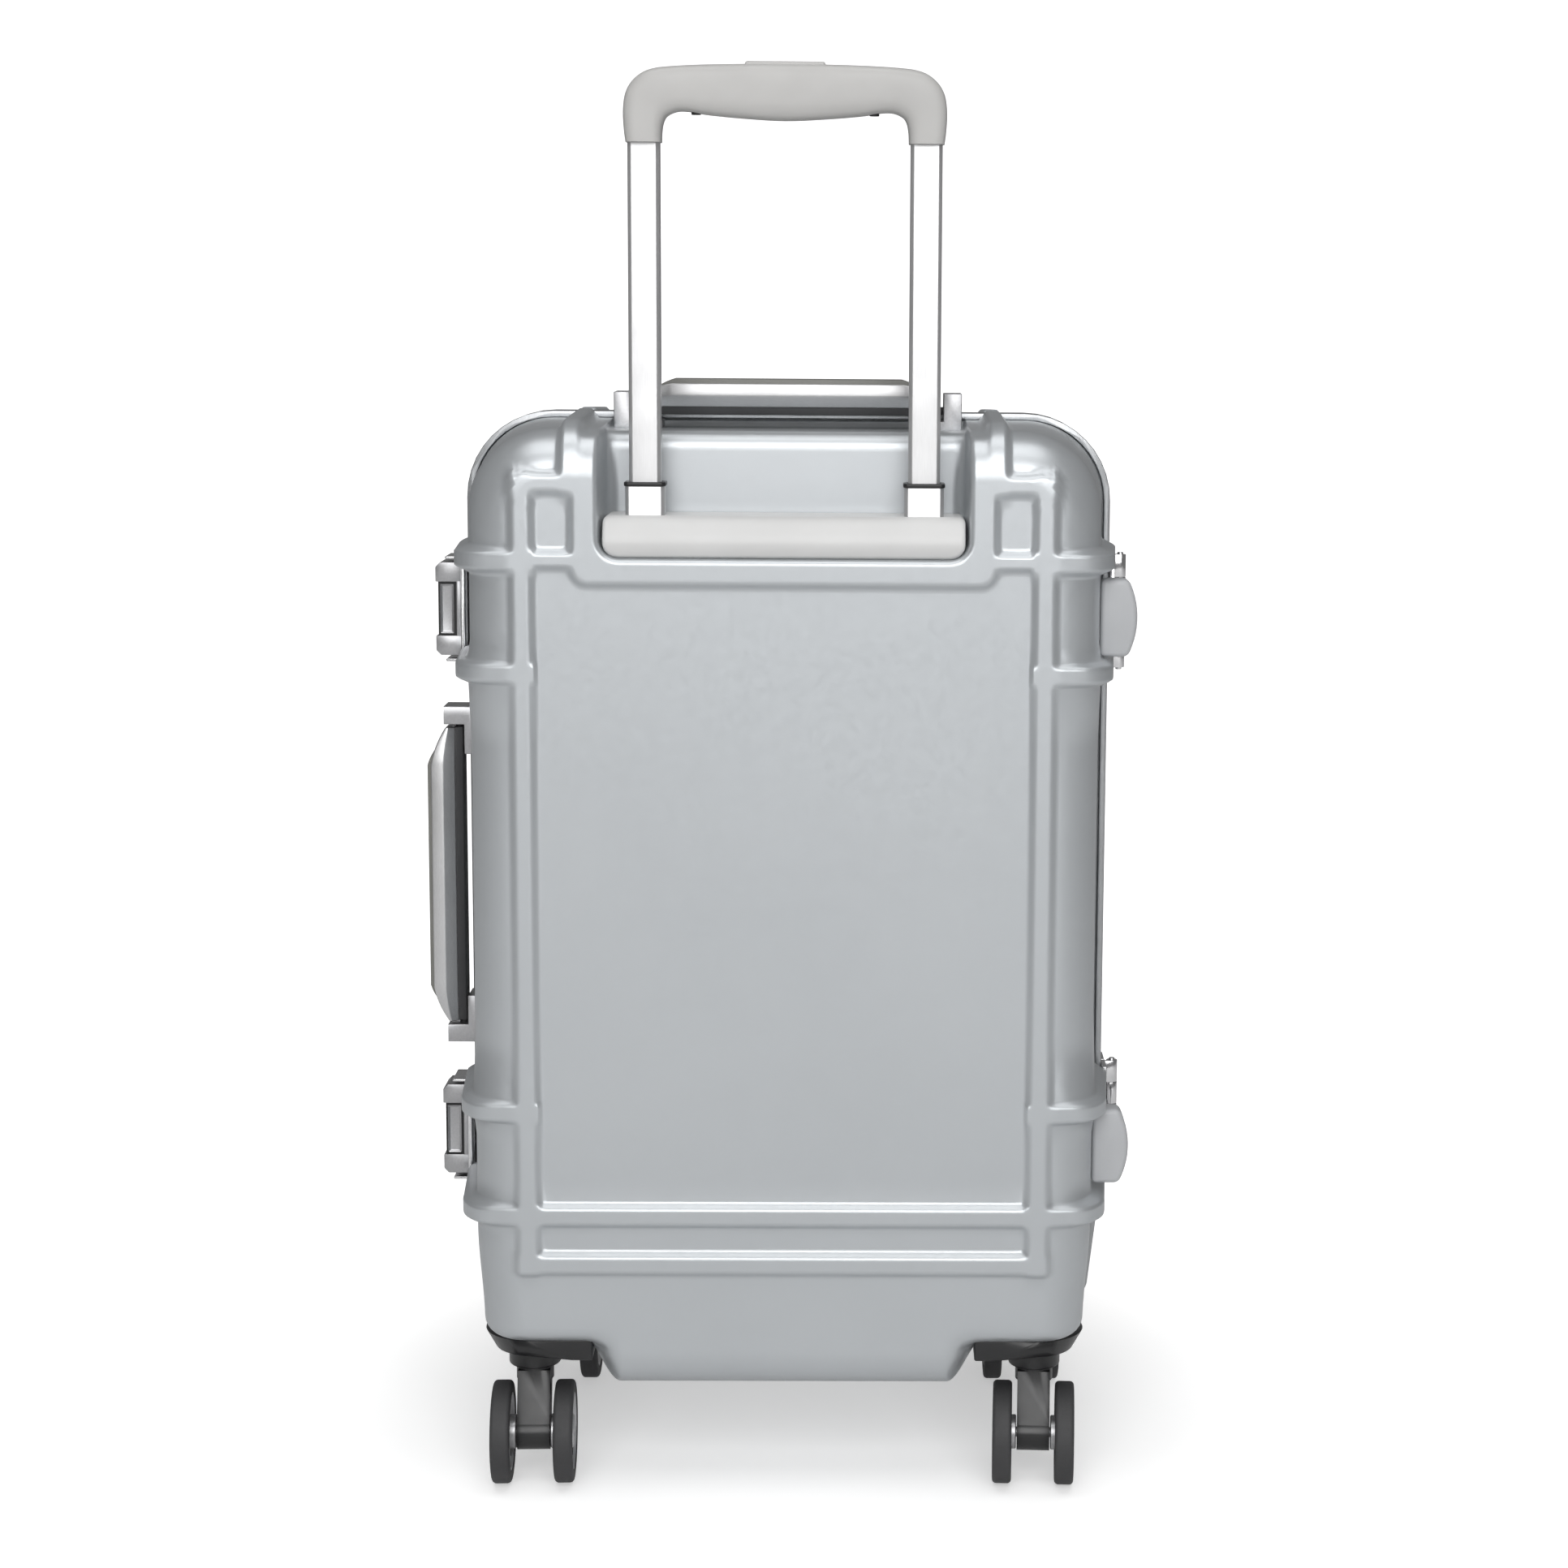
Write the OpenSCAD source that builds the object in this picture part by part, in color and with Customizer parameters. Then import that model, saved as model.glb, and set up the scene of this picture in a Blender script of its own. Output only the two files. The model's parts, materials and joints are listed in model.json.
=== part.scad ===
// Cabin-size hard shell suitcase on four twin-wheel casters, with a closure frame, two
// latches, two hinges, a pull-out trolley and two pull-out carry handles. Millimetres.
// Origin: on the floor under the middle of the closure plane. +Z is up, the trolley side
// faces -Y, the latches are on -X and the hinges on +X.

/* [Case] */
// Half of the case's width at the closure plane
half_w = 158.5; // [156:0.5:160]
// Depth of one half, from the closure plane to its flat panel
half_d = 97; // [95:0.5:99]
// Height of the case's top above the floor, at the closure plane
top_z = 531; // [529:0.5:533]
// Height of the underside above the casters
sill_z = 78; // [77:0.5:79]
// Height of the belly between the casters
belly_z = 54; // [53:0.5:58]
// Thickness of the moulded shell
wall = 2.5; // [2:0.1:3]
// Radius of the case's top corners, seen from the trolley side
corner_r = 40; // [40:1:52]
// Radius of the bulging edge between the sides and the flat panel
bulge_r = 23; // [20:1:26]

/* [Ribs] */
// Width of every moulded rib
rib_w = 8; // [7:0.5:10]
// How far the ribs stand out of the sides
rib_side = 7; // [5:0.5:8]
// How far the ribs stand out of the flat panel
rib_face = 3; // [2:0.5:4]
// Height of the upper pair of ribs round the sides
rib_high = [466.5, 412.5];
// Height of the lower pair of ribs round the sides
rib_low = [196.5, 144.5];

/* [Trolley] */
// Distance of each trolley tube from the middle
tube_x = 66.7; // [66:0.1:68]
// Distance of the tubes behind the closure plane
tube_y = 82; // [81:0.5:83]
// Travel of the trolley up from the pose drawn
trolley_up = 185; // [150:5:185]
// Height of the grip's top as drawn
grip_top = 700; // [696:1:704]

/* [Casters] */
// Distance of each swivel from the middle
caster_x = 126.2; // [125:0.1:127]
// Distance of each swivel from the closure plane
caster_y = 63; // [62:0.5:64]
// Distance of the axle behind its swivel
trail = 12; // [10:0.5:14]
// Radius of the wheels
wheel_r = 25.5; // [25:0.1:26]
// Turn of the near left caster as drawn, degrees
turn_left = 2; // [-4:1:4]
// Turn of the near right caster as drawn, degrees
turn_right = -3; // [-4:1:4]

/* [Hardware] */
// Height of the side carry handle's middle
side_handle_z = 301.5; // [295:0.5:305]
// Heights of the two latches
latch_z = [435.5, 166.6];
// Distance of the hinge axis from the middle
hinge_x = 168.3; // [168:0.1:169]
// Heights of the two hinges
hinge_z = [434.5, 170.5];

/* [Hidden] */
$fn = 40;
crease_y = half_d - bulge_r;
crease_w = half_w - 5.9;
crease_t = top_z - 2.5;
low_w = crease_w - 3;
waist_z = 128;
lip = 3.5;
shell_start = 6.05;
rib_start = 24;
slice = 0.5;
foot_z = 446 - trolley_up;

// One thin rounded outline of the case at depth y: the hulls below are built from these.
module outline_slice(y, w, lw, zt, zb, rt) {
    for (s = [-1, 1]) {
        translate([s * (w - rt), y, zt - rt]) rotate([90, 0, 0])
            cylinder(h = slice, r = rt, $fn = 32);
        translate([s * (w - 2), y, waist_z]) rotate([90, 0, 0])
            cylinder(h = slice, r = 2, $fn = 8);
        translate([s * (lw - 4), y, zb + 4]) rotate([90, 0, 0])
            cylinder(h = slice, r = 4, $fn = 16);
    }
}

// The drafted, rounded form of one half, grown by g on its outline and by gy in depth.
module half_form(g, gy, start) {
    hull() {
        outline_slice(-start, half_w + g - 0.08 * start, low_w + 3.5 + g, top_z + g,
            sill_z - g, corner_r + g);
        outline_slice(-crease_y, crease_w + g, low_w + g, crease_t + g, sill_z - g,
            corner_r + g);
        for (a = [30:30:90])
            outline_slice(slice - crease_y - (bulge_r + gy) * sin(a),
                crease_w - bulge_r + (bulge_r + g) * cos(a),
                low_w - bulge_r + (bulge_r + g) * cos(a),
                crease_t - bulge_r + (bulge_r + g) * cos(a),
                sill_z + 18 - (18 + g) * cos(a),
                corner_r - bulge_r + (bulge_r + g) * cos(a));
    }
}

// The belly that hangs between the casters, grown by g.
module belly_form(g, start) {
    belly_r = 20;
    hull() {
        for (a = [0:30:90]) {
            y = half_d - belly_r + (belly_r + g) * sin(a);
            z = belly_z + belly_r - (belly_r + g) * cos(a);
            for (s = [-1, 1]) {
                translate([s * (80 + g), slice - y, z + 8]) rotate([90, 0, 0])
                    cylinder(h = slice, r = 8, $fn = 24);
                translate([s * (96 + g), slice - y, 100]) rotate([90, 0, 0])
                    cylinder(h = slice, r = 3, $fn = 8);
            }
        }
        for (s = [-1, 1]) {
            translate([s * (80 + g), -start, belly_z - g + 8]) rotate([90, 0, 0])
                cylinder(h = slice, r = 8, $fn = 24);
            translate([s * (96 + g), -start, 100]) rotate([90, 0, 0])
                cylinder(h = slice, r = 3, $fn = 8);
        }
    }
}

// A slab across the whole case between two heights, used to keep only a rib's band.
module band(z0, z1, x0) {
    for (s = [-1, 1]) translate([s > 0 ? x0 : -x0 - 100, -140, z0])
        cube([100, 140 - rib_start, z1 - z0]);
}

// A pair of upright or level bars of the rib pattern, mirrored about the middle.
module rib_pair(x0, x1, z0, z1) {
    for (s = [-1, 1]) translate([s > 0 ? x0 : -x1, -140, z0]) cube([x1 - x0, 80, z1 - z0]);
}

// The rib pattern shared by both halves.
module rib_slabs() {
    for (z = [rib_high[0], rib_high[1], rib_low[0], rib_low[1]])
        band(z - rib_w / 2, z + rib_w / 2, 121);
    rib_pair(121, 129, 116, 507);
    rib_pair(0, 129, 116, 124);
    rib_pair(0, 121.5, 140.5, 148.5);
    rib_pair(98.5, 121.5, 500, 507);
    for (s = [-1, 1]) translate([s * 102 - 3.5, -140, 500])
        cube([7, 140 - shell_start - 3.25, 60]);
}

// The recess that the trolley stands in, grown by g.
module recess(g) {
    translate([-88 - g, -140, 467.8 - g]) cube([176 + 2 * g, 140 - 62 + g, 120]);
}

// The sunken zone of the top face that the carry handle sits in, grown by g.
module top_well(g) {
    translate([-96 - g, -65 - g, 526.5 - g]) cube([192 + 2 * g, 54 + 2 * g, 60]);
}

module tube_section(w, d) {
    c = 1.6;
    polygon([[-w / 2 + c, -d / 2], [w / 2 - c, -d / 2], [w / 2, -d / 2 + c],
        [w / 2, d / 2 - c], [w / 2 - c, d / 2], [-w / 2 + c, d / 2],
        [-w / 2, d / 2 - c], [-w / 2, -d / 2 + c]]);
}

module at_tubes() {
    for (s = [-1, 1]) translate([s * tube_x, -tube_y, 0]) children();
}

// Moulded back half: panel, ribs, trolley recess with its tray and the handle's well.
module back_shell() color([0.72, 0.74, 0.75]) difference() {
    union() {
        half_form(0, 0, shell_start);
        belly_form(0, shell_start);
        intersection() {
            half_form(rib_side, rib_face, shell_start);
            union() {
                rib_slabs();
                rib_pair(0, 100.5, 455, 540);
                rib_pair(100, 121.5, 463.5, 469.5);
            }
        }
    }
    difference() {
        union() {
            half_form(-wall, -wall, shell_start - 1);
            belly_form(-wall, shell_start - 1);
        }
        recess(wall);
        top_well(wall);
    }
    recess(0);
    top_well(0);
    at_tubes() translate([-9.6, -7.2, 440]) cube([19.2, 14.4, 40]);
}

// Moulded front half: the same form, with the rib pattern on a plain panel.
module front_shell() color([0.72, 0.74, 0.75]) mirror([0, 1, 0]) difference() {
    union() {
        half_form(0, 0, shell_start);
        belly_form(0, shell_start);
        intersection() {
            half_form(rib_side, rib_face, shell_start);
            rib_slabs();
        }
    }
    half_form(-wall, -wall, shell_start - 1);
    belly_form(-wall, shell_start - 1);
}

// Outline of the closure plane, grown by g: case body and belly together.
module closure_outline(g) {
    hull() for (s = [-1, 1]) {
        translate([s * (half_w - corner_r), top_z - corner_r]) circle(r = corner_r + g);
        translate([s * (half_w - 2), waist_z]) circle(r = 2 + g);
        translate([s * (low_w + 3.5 - 5), sill_z + 5]) circle(r = 5 + g);
    }
    hull() for (s = [-1, 1]) {
        translate([s * 80, belly_z + 8]) circle(r = 8 + g);
        translate([s * 96, 100]) circle(r = 3 + g);
    }
}

module frame_ring(y0, y1, g_out, g_in) {
    translate([0, y1, 0]) rotate([90, 0, 0]) linear_extrude(y1 - y0) difference() {
        closure_outline(g_out);
        closure_outline(g_in);
    }
}

// Extruded closure frame of the back half, with the groove for the seal.
module back_frame() color([0.84, 0.85, 0.86]) difference() {
    union() {
        frame_ring(-6, -0.2, lip, -wall - 1.5);
        frame_ring(-9, -5.9, lip, 0.35);
    }
    frame_ring(-2.8, 0.5, 0.9, -0.9);
}

// Extruded closure frame of the front half.
module front_frame() color([0.84, 0.85, 0.86]) union() {
    frame_ring(0.2, 6, lip, -wall - 1.5);
    frame_ring(5.9, 9, lip, 0.35);
}

module frame_gasket() color([0.1, 0.1, 0.1]) frame_ring(-2.7, 0, 0.8, -0.8);

// Moulded bar at the foot of the recess, clamping the fixed tubes.
module trolley_housing() color([0.86, 0.86, 0.85]) difference() {
    translate([-86.5, 0, 0]) rotate([90, 0, 90]) linear_extrude(173) polygon([
        [-64, 468], [-96, 468], [-98, 470.2], [-99, 474], [-99.2, 478], [-98.6, 482],
        [-97, 485], [-93, 487.4], [-88, 488], [-64, 488]]);
    at_tubes() translate([0, 0, 460]) linear_extrude(40) tube_section(18.9, 14.1);
}

// Fixed tubes, from the foot of the shell to just under the collars.
module outer_tubes() color([0.9, 0.9, 0.9]) at_tubes() difference() {
    translate([0, 0, 84]) linear_extrude(501.8 - 84) tube_section(18.8, 14);
    translate([0, 0, 80]) linear_extrude(440) tube_section(16.4, 11.6);
}

// Black fittings of the fixed tubes: a guide collar on top, a socket at the foot.
module tube_fittings() color([0.05, 0.05, 0.05]) at_tubes() {
    difference() {
        translate([0, 0, 501.8]) linear_extrude(2) tube_section(20, 15.2);
        translate([0, 0, 498]) linear_extrude(10) tube_section(15.4, 11);
    }
    difference() {
        translate([-12, -8.6, 77]) cube([24, 17.2, 22]);
        translate([0, 0, 83.9]) linear_extrude(40) tube_section(18.9, 14.1);
    }
}

// Sliding tubes of the trolley.
module inner_tubes() color([0.92, 0.92, 0.92]) at_tubes() difference() {
    translate([0, 0, foot_z]) linear_extrude(grip_top - 32 - foot_z)
        tube_section(15.2, 10.8);
    translate([0, 0, foot_z - 1]) linear_extrude(500) tube_section(13.2, 8.8);
}

// Plugs in the feet of the sliding tubes: they run in the fixed tubes and hold the pins.
module tube_plugs() color([0.12, 0.12, 0.12])
    for (s = [-1, 1]) translate([s * tube_x, -tube_y, 0]) difference() {
        union() {
            translate([0, 0, foot_z - 15]) linear_extrude(14.9) tube_section(16.2, 11.4);
            translate([0, 0, foot_z - 0.5]) linear_extrude(18) tube_section(13, 8.6);
        }
        translate([-s * 2.8, 0, foot_z - 8]) rotate([0, s * 90, 0]) cylinder(h = 20, r = 2.05);
        translate([0, 0, foot_z - 5.5]) cylinder(h = 40, r = 1.7);
    }

// A sprung lock pin lying across a plug, its nose just inside the tube's bore.
module lock_pin(s) color([0.7, 0.7, 0.72])
    translate([s * tube_x, -tube_y, foot_z - 8]) rotate([0, s * 90, 0]) cylinder(h = 7.8, r = 2);

// Outline of the grip seen from the trolley side: crown, legs and the belly under it.
module grip_outline() {
    z = grip_top;
    difference() {
        union() {
            translate([-75, z - 37.2]) square([150, 21.2]);
            translate([-61, z - 20]) square([122, 16]);
            for (s = [-1, 1]) translate([s * 57, z - 22]) circle(r = 18);
            polygon([[-57, z - 4], [-40, z - 1.6], [-20, z - 0.4], [0, z], [20, z - 0.4],
                [40, z - 1.6], [57, z - 4], [0, z - 12]]);
        }
        translate([-58, z - 50]) square([116, 19]);
        translate([-80, z - 56.6]) square([160, 20]);
        polygon([[-58, z - 32], [-54, z - 25], [-46, z - 21.7], [-30, z - 23.5],
            [-12, z - 25], [12, z - 25], [30, z - 23.5], [46, z - 21.7], [54, z - 25],
            [58, z - 32]]);
    }
}

// Moulded grip: hollow for the release bar, with the button's slot on top.
module trolley_grip() color([0.77, 0.77, 0.77]) difference() {
    translate([0, 9 - tube_y, 0]) rotate([90, 0, 0]) linear_extrude(18) grip_outline();
    at_tubes() translate([0, 0, grip_top - 60]) linear_extrude(28.2)
        tube_section(15.3, 10.9);
    at_tubes() translate([0, 0, grip_top - 40]) cylinder(h = 28, r = 3.2);
    translate([-69.6, -tube_y - 4.4, grip_top - 19.5]) cube([139.2, 8.8, 9]);
    translate([-19.3, -tube_y - 5.3, grip_top - 16.5]) cube([38.6, 10.6, 20]);
    for (s = [-1, 1]) translate([s * 42, -tube_y, grip_top - 30])
        cylinder(h = 12, r = 2);
}

// The two screws under the crown.
module grip_screws() color([0.12, 0.12, 0.12]) for (s = [-1, 1])
    translate([s * 42, -tube_y, grip_top - 21.4]) cylinder(h = 1.6, r = 1.95);

// Push button on top of the grip.
module release_button() color([0.74, 0.74, 0.74])
    translate([-19, -tube_y - 5, grip_top - 12.9]) cube([38, 10, 14.1]);

// Bar under the button and the rods down the inside of the sliding tubes.
module release_rods() color([0.6, 0.6, 0.62]) union() {
    translate([-68.5, -tube_y - 4, grip_top - 16]) cube([137, 8, 3]);
    at_tubes() translate([0, 0, foot_z - 2.4])
        cylinder(h = grip_top - 11.6 - foot_z, r = 1.5);
}

// Carry handle in its own frame: it lies along X, stands out to +Z, z = 0 on its base.
module carry_brackets() difference() {
    for (s = [-1, 1]) {
        translate([s > 0 ? 77 : -86, -9, 0]) cube([9, 18, 18.3]);
        translate([s > 0 ? 62 : -86, -9, 0]) cube([24, 18, 4.5]);
    }
    for (s = [-1, 1]) translate([s > 0 ? 70 : -82, -2.2, 5.6]) cube([12, 4.4, 11.4]);
}
module carry_bar() union() {
    rotate([90, 0, 90]) translate([0, 0, -75.4]) linear_extrude(150.8) polygon([
        [-9, 6], [9, 6], [13, 10.4], [13, 18], [10, 21.2], [-10, 21.2], [-13, 18],
        [-13, 10.4]]);
    translate([-81.4, 0, 7.9]) rotate([0, 90, 0]) cylinder(h = 162.8, r = 2);
}
module carry_pad() translate([-70, -9.8, 21.2]) cube([140, 19.6, 2.4]);

module at_top() translate([0, -23, 526.6]) children();
module at_side() translate([-157.5, -23, side_handle_z]) rotate([0, -90, 0]) children();

// End brackets of both carry handles, fixed to the back half.
module handle_brackets() color([0.8, 0.8, 0.81]) {
    at_top() carry_brackets();
    at_side() carry_brackets();
}
module top_handle_bar() color([0.75, 0.75, 0.76]) at_top() carry_bar();
module top_handle_pad() color([0.66, 0.66, 0.64]) at_top() carry_pad();
module side_handle_bar() color([0.75, 0.75, 0.76]) at_side() carry_bar();
module side_handle_pad() color([0.66, 0.66, 0.64]) at_side() carry_pad();

module at_latches() for (z = latch_z) translate([0, 0, z]) children();

// Steel plates under the latches, with a lip at the top and the bottom.
module latch_plates() color([0.8, 0.8, 0.81]) at_latches() {
    translate([-164.4, -21, -26.5]) cube([2.2, 20.6, 53]);
    for (z = [-26.5, 25.1]) translate([-172, -21, z]) cube([8, 20.6, 1.4]);
}

// Latch bodies: a base with an ear at each end of the lever and a cover behind it.
module latch_bodies() color([0.7, 0.7, 0.71]) at_latches() difference() {
    union() {
        translate([-166.6, -20, -23.4]) cube([2.2, 19.4, 46.8]);
        translate([-175.8, -20, -14]) cube([9.4, 1.6, 28]);
        for (z = [-23.4, 13.3]) translate([-177, -20, z]) cube([10.5, 19.4, 10.1]);
    }
    translate([-171.5, -13, -21.5]) cylinder(h = 43, r = 1.55);
}

module latch_pins() color([0.75, 0.75, 0.76]) at_latches()
    translate([-171.5, -13, -21]) cylinder(h = 42, r = 1.5);

// Keepers on the front half, just clear of the levers' claws.
module latch_keepers() color([0.7, 0.7, 0.71]) at_latches() {
    translate([-164.6, 0.6, -26.5]) cube([2.4, 20.4, 53]);
    translate([-168.4, 9, -12]) cube([3.9, 2.5, 24]);
}

// Over-centre lever: it turns on the pin and its claw reaches behind the keeper's ridge.
module latch_lever(z) color([0.66, 0.66, 0.67]) translate([0, 0, z]) difference() {
    union() {
        translate([-176, -13, -13]) cube([5, 34, 26]);
        translate([-171.5, -13, -13]) cylinder(h = 26, r = 4.4);
        translate([-171.2, 12.6, -12]) cube([2.4, 2.4, 24]);
    }
    translate([-171.5, -13, -20]) cylinder(h = 40, r = 1.55);
}

// One leaf of a hinge: k picks the knuckles that belong to it, side its half.
module hinge_leaf(k, side) difference() {
    union() {
        translate([162.3, side < 0 ? -16 : 0.6, -28.9]) cube([2.2, 15.4, 57.8]);
        for (i = [k:2:4]) translate([0, 0, -28.9 + i * 11.6]) {
            translate([hinge_x, 0, 0]) cylinder(h = 11.4, r = 2.9);
            translate([163.4, side < 0 ? -2.9 : 0.9, 0]) cube([4.9, 2, 11.4]);
        }
    }
    translate([hinge_x, 0, -40]) cylinder(h = 80, r = 1.6);
}
module hinge_leaves_back() color([0.78, 0.78, 0.79])
    for (z = hinge_z) translate([0, 0, z]) hinge_leaf(0, -1);
module hinge_leaves_front() color([0.78, 0.78, 0.79])
    for (z = hinge_z) translate([0, 0, z]) hinge_leaf(1, 1);
module hinge_pins() color([0.85, 0.85, 0.86])
    for (z = hinge_z) translate([hinge_x, 0, z - 30]) cylinder(h = 60, r = 1.55);

// Moulded side feet that the case stands on when it lies on its hinge side.
module side_feet() color([0.68, 0.7, 0.71]) for (z = [438, 173]) difference() {
    translate([130, -72, z]) rotate([-90, 0, 0]) intersection() {
        cylinder(h = 14, r = 41.5, $fn = 80);
        translate([20, -19, -1]) cube([30, 38, 20]);
    }
    half_form(0.25, 0.25, shell_start - 2);
}

// Fabric-covered floor of the back half, over the trolley tubes.
module back_liner() color([0.2, 0.21, 0.23]) translate([-147, -58.6, 104])
    cube([294, 1.6, 388]);

// Zipped divider panel of the front half.
module front_divider() color([0.2, 0.21, 0.23]) translate([-147, 10, 104])
    cube([294, 1.6, 388]);

// Packing strap of the back half, lying on the liner, with its buckle.
module packing_straps() color([0.12, 0.12, 0.13]) {
    for (s = [-1, 1]) translate([s > 0 ? 18.2 : -140, -57, 290]) cube([121.8, 1.4, 25]);
    translate([-18, -57, 286]) cube([36, 5, 33]);
}

// Caster housing: a moulded plate under the corner and the cup of the swivel.
module caster_housing(s) difference() {
    union() {
        hull() {
            translate([s * caster_x, -caster_y, 67]) cylinder(h = 1, r = 19);
            translate([s * caster_x, -caster_y, 76.9]) cylinder(h = 1, r = 24.4);
            translate([s > 0 ? 95 : -105, -88, 67]) cube([10, 46, 10.9]);
        }
        translate([s * caster_x, -caster_y, 58]) cylinder(h = 9.5, r = 13);
    }
    translate([s * caster_x, -caster_y, 50]) cylinder(h = 23, r = 5.06);
}
module caster_housings_back() color([0.09, 0.09, 0.09])
    for (s = [-1, 1]) caster_housing(s);
module caster_housings_front() color([0.09, 0.09, 0.09]) mirror([0, 1, 0])
    for (s = [-1, 1]) caster_housing(s);

// A caster's own frame: origin on the floor under the swivel, axle at -trail.
module at_caster(s, front, turn) mirror([0, front, 0])
    translate([s * caster_x, -caster_y, 0]) rotate([0, 0, turn]) children();

// Swivel fork: a stem that turns in the cup, a crown and one leg that trails behind.
module fork(s, front, turn) color([0.11, 0.11, 0.11]) at_caster(s, front, turn)
    difference() {
        union() {
            translate([0, 0, 50]) cylinder(h = 22.4, r = 5);
            translate([0, 0, 50]) cylinder(h = 7.4, r = 9.4);
            translate([-8.2, 0, 0]) rotate([90, 0, 90]) linear_extrude(16.4) union() {
                polygon([[8, 56], [-9, 56], [-21, wheel_r], [-trail + 9, wheel_r],
                    [1.5, 40]]);
                translate([-trail, wheel_r]) circle(r = 9);
            }
        }
        translate([-20, -trail, wheel_r]) rotate([0, 90, 0]) cylinder(h = 40, r = 2.5);
    }

// Steel axle, pressed through the fork.
module axle(s, front, turn) color([0.7, 0.7, 0.72]) at_caster(s, front, turn)
    translate([-20, -trail, wheel_r]) rotate([0, 90, 0]) cylinder(h = 40, r = 2.5);

// Hub of one wheel: a disc with a boss towards the fork. side picks the wheel.
module hub(s, front, turn, side) color([0.8, 0.8, 0.81]) at_caster(s, front, turn)
    translate([0, -trail, wheel_r]) rotate([0, side * 90, 0]) difference() {
        union() {
            translate([0, 0, 10.9]) cylinder(h = 9.4, r = 19.5);
            translate([0, 0, 8.5]) cylinder(h = 3, r = 8.5);
        }
        translate([0, 0, 5]) cylinder(h = 20, r = 2.55);
    }

// Tyre moulded round the hub.
module tyre(s, front, turn, side) color([0.24, 0.24, 0.25]) at_caster(s, front, turn)
    translate([0, -trail, wheel_r]) rotate([0, side * 90, 0]) difference() {
        translate([0, 0, 10.8]) cylinder(h = 9.6, r = wheel_r);
        translate([0, 0, 10]) cylinder(h = 12, r = 19.5);
    }

back_shell();
front_shell();
back_frame();
front_frame();
frame_gasket();
trolley_housing();
outer_tubes();
tube_fittings();
inner_tubes();
tube_plugs();
lock_pin(-1);  // lock_pin_left
lock_pin(1);  // lock_pin_right
trolley_grip();
grip_screws();
release_button();
release_rods();
handle_brackets();
top_handle_bar();
top_handle_pad();
side_handle_bar();
side_handle_pad();
latch_plates();
latch_bodies();
latch_pins();
latch_keepers();
latch_lever(latch_z[0]);  // latch_lever_upper
latch_lever(latch_z[1]);  // latch_lever_lower
hinge_leaves_back();
hinge_leaves_front();
hinge_pins();
side_feet();
back_liner();
front_divider();
packing_straps();
caster_housings_back();
caster_housings_front();
fork(-1, 0, turn_left);  // fork_back_left
axle(-1, 0, turn_left);  // axle_back_left
hub(-1, 0, turn_left, -1);  // hub_back_left_outer
tyre(-1, 0, turn_left, -1);  // tyre_back_left_outer
hub(-1, 0, turn_left, 1);  // hub_back_left_inner
tyre(-1, 0, turn_left, 1);  // tyre_back_left_inner
fork(1, 0, turn_right);  // fork_back_right
axle(1, 0, turn_right);  // axle_back_right
hub(1, 0, turn_right, 1);  // hub_back_right_outer
tyre(1, 0, turn_right, 1);  // tyre_back_right_outer
hub(1, 0, turn_right, -1);  // hub_back_right_inner
tyre(1, 0, turn_right, -1);  // tyre_back_right_inner
fork(-1, 1, 0);  // fork_front_left
axle(-1, 1, 0);  // axle_front_left
hub(-1, 1, 0, -1);  // hub_front_left_outer
tyre(-1, 1, 0, -1);  // tyre_front_left_outer
hub(-1, 1, 0, 1);  // hub_front_left_inner
tyre(-1, 1, 0, 1);  // tyre_front_left_inner
fork(1, 1, 0);  // fork_front_right
axle(1, 1, 0);  // axle_front_right
hub(1, 1, 0, 1);  // hub_front_right_outer
tyre(1, 1, 0, 1);  // tyre_front_right_outer
hub(1, 1, 0, -1);  // hub_front_right_inner
tyre(1, 1, 0, -1);  // tyre_front_right_inner
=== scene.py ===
import bmesh, bpy, json, math
from mathutils import Matrix, Vector


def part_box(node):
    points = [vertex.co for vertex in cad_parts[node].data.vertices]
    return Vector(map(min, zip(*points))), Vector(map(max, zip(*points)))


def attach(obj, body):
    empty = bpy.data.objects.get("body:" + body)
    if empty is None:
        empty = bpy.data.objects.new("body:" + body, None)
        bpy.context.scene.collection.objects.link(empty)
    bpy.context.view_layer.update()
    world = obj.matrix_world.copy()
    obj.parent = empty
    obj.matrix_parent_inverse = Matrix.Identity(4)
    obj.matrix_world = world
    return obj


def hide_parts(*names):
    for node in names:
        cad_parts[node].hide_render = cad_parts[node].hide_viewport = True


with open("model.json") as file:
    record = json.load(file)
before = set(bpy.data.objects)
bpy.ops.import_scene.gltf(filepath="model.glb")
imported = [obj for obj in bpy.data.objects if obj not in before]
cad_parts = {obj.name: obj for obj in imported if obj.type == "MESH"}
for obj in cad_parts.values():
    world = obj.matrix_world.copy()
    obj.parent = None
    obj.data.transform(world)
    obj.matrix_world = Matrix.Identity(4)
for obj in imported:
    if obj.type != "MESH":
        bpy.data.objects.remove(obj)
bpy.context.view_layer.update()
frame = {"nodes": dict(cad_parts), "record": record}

# --- Viewpoint -------------------------------------------------------------------
# A long lens a metre and a half away, a little above the case and to its right,
# shifted so that the upright edges stay nearly parallel.
camera = bpy.data.objects.new("camera", bpy.data.cameras.new("camera"))
bpy.context.scene.collection.objects.link(camera)
bpy.context.scene.camera = camera
camera.data.sensor_width = 36.0
camera.data.lens = 69.19
camera.data.shift_x = -0.0837
camera.data.shift_y = -0.0342
camera.location = (0.0421, -1.5301, 0.5908)
heading, tilt_down, roll = math.radians(-0.842), math.radians(8.13), math.radians(0.426)
camera.rotation_euler = (Matrix.Rotation(heading, 3, "Z") @ Matrix.Rotation(math.pi / 2 - tilt_down, 3, "X")
                         @ Matrix.Rotation(roll, 3, "Z")).to_euler()

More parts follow.
